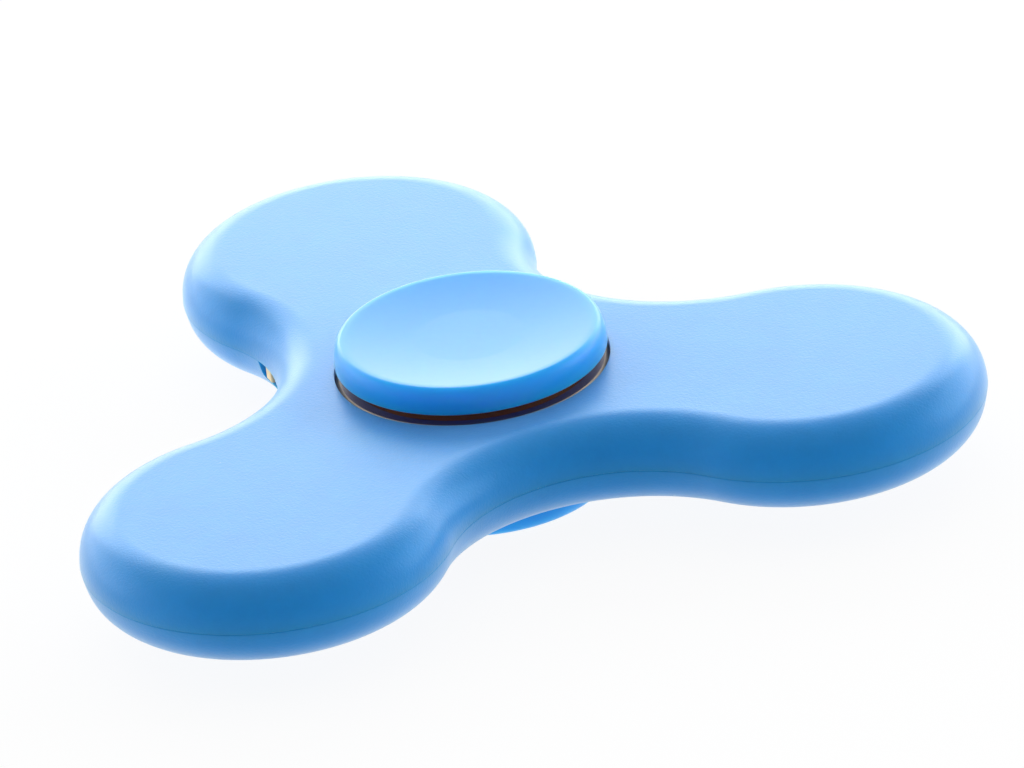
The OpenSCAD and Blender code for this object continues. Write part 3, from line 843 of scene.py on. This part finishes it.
class SPINNER_OT_bearing(bpy.types.Operator):
    """Finish the bearing's rings, shields, balls and cage"""

    bl_idname = "spinner.bearing"
    bl_label = "Bearing"

    def execute(self, context):
        colours = context.scene.spinner_colours
        # Grinding lines of about 0.05 mm, drawn at 0.1 mm so that they show
        ground = turned_metal(
            "ground_bearing_steel", colours.ring, line=0.1 * MM, low=0.42, high=0.56, depth=0.002 * MM
        )
        pressed = turned_metal(
            "passivated_shield_steel", colours.shield, line=0.2 * MM, low=0.75, high=0.9, depth=0.002 * MM
        )
        polished = turned_metal(
            "polished_ball_steel", colours.ball, line=0.3 * MM, low=0.06, high=0.1, depth=0.0002 * MM
        )
        nylon = moulded_plastic("natural_nylon", colours.cage, grain=0.2 * MM, low=0.4, high=0.55)
        finish_nodes(ground, "bearing_inner_ring", "bearing_outer_ring")
        finish_nodes(pressed, "upper_bearing_shield", "lower_bearing_shield")
        finish_nodes(polished, "bearing_balls")
        finish_nodes(nylon, "ball_cage")
        return {"FINISHED"}


# Switch


def block(size, middle, rounding):
    """A box with rounded edges."""
    bm = bmesh.new()
    bmesh.ops.create_cube(bm, size=1)
    bmesh.ops.scale(bm, vec=size, verts=bm.verts)
    bmesh.ops.bevel(
        bm, geom=bm.edges[:], offset=rounding, segments=KNOB_STEPS, profile=0.5, affect="EDGES", material=-1
    )
    bmesh.ops.translate(bm, vec=middle, verts=bm.verts)
    return bm


def knob_form(body, switch):
    """The slider inside the switch and the knob that reaches into the slot, at the end of its travel."""
    bm = bmesh.new()
    half_travel = switch.travel / 2
    slider_front = -switch.slider_place
    slider_level = -switch.slider_drop - switch.slider_height / 2
    knob_end = -switch.knob_recess
    knob_middle = knob_end - switch.knob_reach / 2
    parts = (
        block(
            (switch.slider_width, switch.slider_depth, switch.slider_height),
            (half_travel, slider_front - switch.slider_depth / 2, slider_level),
            switch.knob_round,
        ),
        block(
            (switch.knob_width, knob_end - slider_front, switch.slider_height),
            (half_travel, (slider_front - switch.knob_round + knob_middle) / 2, slider_level),
            switch.knob_round / 2,
        ),
        block(
            (switch.knob_width, switch.knob_reach, switch.knob_height),
            (half_travel, knob_middle, -switch.knob_drop - switch.knob_height / 2),
            switch.knob_round,
        ),
    )
    for part in parts:
        add_copy(bm, part, switch_frame(body, switch))
        part.free()
    return bm


class SPINNER_OT_switch(bpy.types.Operator):
    """Model the switch knob and finish the rest of the switch"""

    bl_idname = "spinner.switch"
    bl_label = "Slide switch"

    def execute(self, context):
        colours = context.scene.spinner_colours
        body = context.scene.spinner_body
        switch = context.scene.spinner_switch
        acetal = moulded_plastic("cream_acetal", colours.knob, grain=0.25 * MM, low=0.38, high=0.5)
        nylon = moulded_plastic("glass_filled_nylon", colours.tray, grain=0.12 * MM, low=0.4, high=0.6)
        tin = rolled_metal("tinned_sheet", colours.tin, low=0.22, high=0.36)
        knob = new_object("slide_switch_knob", knob_form(body, switch))
        place(knob, acetal, "switch_slider", "switch_knob")
        finish_nodes(nylon, "switch_base")
        finish_nodes(tin, "switch_cover", "switch_terminals")
        return {"FINISHED"}


# Electronics


class SPINNER_OT_electronics(bpy.types.Operator):
    """Finish the board and the parts on it"""

    bl_idname = "spinner.electronics"
    bl_label = "Electronics"

    def execute(self, context):
        colours = context.scene.spinner_colours
        finish_nodes(solder_mask(colours), "circuit_board")
        nickel = rolled_metal("nickel_plated_steel", colours.nickel, low=0.18, high=0.32)
        # The window lies below the lamp's top, and the glazed face below the tinned ends
        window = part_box("led_1")[1].z - 0.1 * MM
        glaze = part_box("resistor_1")[1].z - 0.02 * MM
        lamp = two_tone_chip(
            "lamp_resin", colours.lamp, colours.phosphor, level=window, low=0.3, high=0.42
        )
        chip = two_tone_chip(
            "glazed_resistor", colours.tin, colours.ceramic, level=glaze, low=0.2, high=0.32
        )
        for arm in range(1, ARM_COUNT + 1):
            finish_nodes(nickel, f"coin_cell_{arm}", f"cell_clip_{arm}")
            finish_nodes(lamp, f"led_{arm}")
            finish_nodes(chip, f"resistor_{arm}")
        return {"FINISHED"}


# Stage


def shown_rays(tree):
    """One for rays that show a background: straight from the camera, mirrored, or through something clear."""
    rays = add_node(tree, "ShaderNodeLightPath", {}).outputs
    shown = rays["Is Camera Ray"]
    for kind in ("Is Glossy Ray", "Is Transmission Ray"):
        shown = add_node(tree, "ShaderNodeMath", {0: shown, 1: rays[kind]}, operation="MAXIMUM").outputs[0]
    return shown


def floor_material(white, stage, behind):
    """Light table of white acrylic that glows, more so behind the object.

    It shows white with a trace of the object's shadow, and is clear from below.
    """
    material = bpy.data.materials.new("white_acrylic")
    material.use_nodes = True
    tree = material.node_tree
    tree.nodes.clear()
    lit = add_node(tree, "ShaderNodeBsdfDiffuse", {"Color": rgba(white)})
    where = add_node(tree, "ShaderNodeTexCoord", {}).outputs["Object"]
    depth = add_node(tree, "ShaderNodeVectorMath", {0: where, 1: behind}, operation="DOT_PRODUCT")
    span = {"From Min": stage.far_start, "From Max": stage.far_end, "To Min": 1.0, "To Max": stage.far_glow}
    far = add_node(
        tree,
        "ShaderNodeMapRange",
        {"Value": depth.outputs["Value"], **span},
        interpolation_type="SMOOTHSTEP",
    )
    shown = shown_rays(tree)
    level = add_node(tree, "ShaderNodeMix", {0: shown, 2: far.outputs["Result"], 3: 1.0}, data_type="FLOAT")
    pale = add_node(tree, "ShaderNodeEmission", {"Color": (1, 1, 1, 1), "Strength": level.outputs[0]})
    share = add_node(
        tree, "ShaderNodeMix", {0: shown, 2: stage.table_glow, 3: SHOWN_WHITE}, data_type="FLOAT"
    )
    seen = add_node(tree, "ShaderNodeMixShader", {0: share.outputs[0], 1: lit.outputs[0], 2: pale.outputs[0]})
    below = add_node(tree, "ShaderNodeNewGeometry", {}).outputs["Backfacing"]
    clear = add_node(tree, "ShaderNodeBsdfTransparent", {})
    both = add_node(tree, "ShaderNodeMixShader", {0: below, 1: seen.outputs[0], 2: clear.outputs[0]})
    add_node(tree, "ShaderNodeOutputMaterial", {"Surface": both.outputs[0]})
    return material


def studio_world(ceiling, ceiling_light, sideways, side_light):
    """White room with light from the ceiling and from both sides, which shows plain white."""
    world = bpy.data.worlds.new("white_studio")
    world.use_nodes = True
    tree = world.node_tree
    tree.nodes.clear()
    toward = add_node(tree, "ShaderNodeTexCoord", {}).outputs["Generated"]
    up = add_node(tree, "ShaderNodeVectorMath", {0: toward, 1: ceiling}, operation="DOT_PRODUCT")
    across = add_node(tree, "ShaderNodeVectorMath", {0: toward, 1: sideways}, operation="DOT_PRODUCT")
    either = add_node(tree, "ShaderNodeMath", {0: across.outputs["Value"]}, operation="ABSOLUTE")
    above = add_node(
        tree,
        "ShaderNodeMapRange",
        {"Value": up.outputs["Value"], "From Min": CEILING_EDGE, "From Max": 1.0, "To Max": ceiling_light},
        interpolation_type="SMOOTHSTEP",
    )
    beside = add_node(
        tree,
        "ShaderNodeMapRange",
        {"Value": either.outputs[0], "From Min": SIDE_EDGE, "From Max": 1.0, "To Max": side_light},
        interpolation_type="SMOOTHSTEP",
    )
    wall = add_node(tree, "ShaderNodeMath", {0: above.outputs[0], 1: beside.outputs[0]}, operation="ADD")
    light = add_node(
        tree, "ShaderNodeMix", {0: shown_rays(tree), 2: wall.outputs[0], 3: 1.0}, data_type="FLOAT"
    )
    room = add_node(tree, "ShaderNodeBackground", {"Color": (1, 1, 1, 1), "Strength": light.outputs[0]})
    add_node(tree, "ShaderNodeOutputWorld", {"Surface": room.outputs[0]})
    return world


def add_softbox(scene, name, matrix, size, power):
    """A rectangular lamp that lights and is mirrored but isn't seen itself."""
    softbox = bpy.data.lights.new(name, "AREA")
    softbox.shape = "RECTANGLE"
    softbox.size, softbox.size_y = size
    softbox.energy = power
    lamp = bpy.data.objects.new(name, softbox)
    lamp.visible_camera = False
    lamp.matrix_world = matrix
    scene.collection.objects.link(lamp)


class SPINNER_OT_stage(bpy.types.Operator):
    """Set the floor, the light and the camera"""

    bl_idname = "spinner.stage"
    bl_label = "Stage"

    def execute(self, context):
        stage = context.scene.spinner_stage
        scene = context.scene
        scene.view_settings.view_transform = "Standard"
        middle = Vector((0, 0, PARTING))
        rise = Vector((0, math.cos(stage.room_elevation), math.sin(stage.room_elevation)))
        faced = Matrix.Rotation(stage.heading, 3, "Z")
        sideways = faced @ Vector((1, 0, 0))
        behind = faced @ Vector((0, 1, 0))
        scene.world = studio_world(faced @ rise, stage.room_light, sideways, stage.side_light)

        ground = bmesh.new()
        bmesh.ops.create_grid(ground, x_segments=1, y_segments=1, size=FLOOR_HALF)
        mesh = bpy.data.meshes.new("floor")
        ground.to_mesh(mesh)
        ground.free()
        mesh.materials.append(floor_material(scene.spinner_colours.floor, stage, behind))
        floor = bpy.data.objects.new("floor", mesh)
        scene.collection.objects.link(floor)

        back = stage.heading + math.pi
        back_size = (stage.back_width, stage.back_height)
        side_size = (stage.side_width, stage.side_height)
        lamps = (
            ("back_softbox", back, stage.back_elevation, back_size, stage.back_power),
            ("left_softbox", back + stage.left_angle, stage.side_elevation, side_size, stage.left_power),
            ("right_softbox", back - stage.right_angle, stage.side_elevation, side_size, stage.right_power),
        )
        for name, bearing, elevation, size, power in lamps:
            toward = Matrix.Rotation(bearing, 4, "Z") @ Matrix.Rotation(math.pi / 2 - elevation, 4, "X")
            away = Matrix.Translation((0, 0, stage.softbox_distance))
            add_softbox(scene, name, Matrix.Translation(middle) @ toward @ away, size, power)

        lens = bpy.data.cameras.new("camera")
        lens.sensor_width = SENSOR_WIDTH
        lens.lens = stage.lens / MM
        camera = bpy.data.objects.new("camera", lens)
        camera.matrix_world = (
            Matrix.Translation(middle)
            @ Matrix.Rotation(stage.heading, 4, "Z")
            @ Matrix.Rotation(math.pi / 2 - stage.elevation, 4, "X")
            @ Matrix.Rotation(stage.roll, 4, "Z")
            @ Matrix.Translation((stage.shift_right, stage.shift_up, stage.distance))
        )
        scene.collection.objects.link(camera)
        scene.camera = camera
        return {"FINISHED"}


class SPINNER_PT_panel(bpy.types.Panel):
    """Sizes, colours and steps of the spinner"""

    bl_idname = "SPINNER_PT_panel"
    bl_label = "Fidget spinner"
    bl_space_type = "VIEW_3D"
    bl_region_type = "UI"
    bl_category = "Spinner"

    def draw(self, context):
        for name in GROUPS:
            box = self.layout.box()
            group = getattr(context.scene, name)
            for field in group.bl_rna.properties:
                if field.identifier not in ("rna_type", "name"):
                    box.prop(group, field.identifier)
        for step in STEPS:
            self.layout.operator(step.bl_idname)


GROUPS = {
    "spinner_body": SpinnerBody,
    "spinner_caps": SpinnerCaps,
    "spinner_switch": SpinnerSwitch,
    "spinner_colours": SpinnerColours,
    "spinner_stage": SpinnerStage,
}
STEPS = (
    SPINNER_OT_stage,
    SPINNER_OT_shells,
    SPINNER_OT_finger_caps,
    SPINNER_OT_bearing,
    SPINNER_OT_switch,
    SPINNER_OT_electronics,
)


def register():
    for name, group in GROUPS.items():
        bpy.utils.register_class(group)
        setattr(bpy.types.Scene, name, PointerProperty(type=group))
    for step in STEPS:
        bpy.utils.register_class(step)
    bpy.utils.register_class(SPINNER_PT_panel)


def unregister():
    bpy.utils.unregister_class(SPINNER_PT_panel)
    for step in reversed(STEPS):
        bpy.utils.unregister_class(step)
    for name, group in GROUPS.items():
        delattr(bpy.types.Scene, name)
        bpy.utils.unregister_class(group)


def main():
    register()
    bpy.ops.spinner.stage()
    bpy.ops.spinner.shells()
    bpy.ops.spinner.finger_caps()
    bpy.ops.spinner.bearing()
    bpy.ops.spinner.switch()
    bpy.ops.spinner.electronics()


if __name__ == "__main__":
    main()
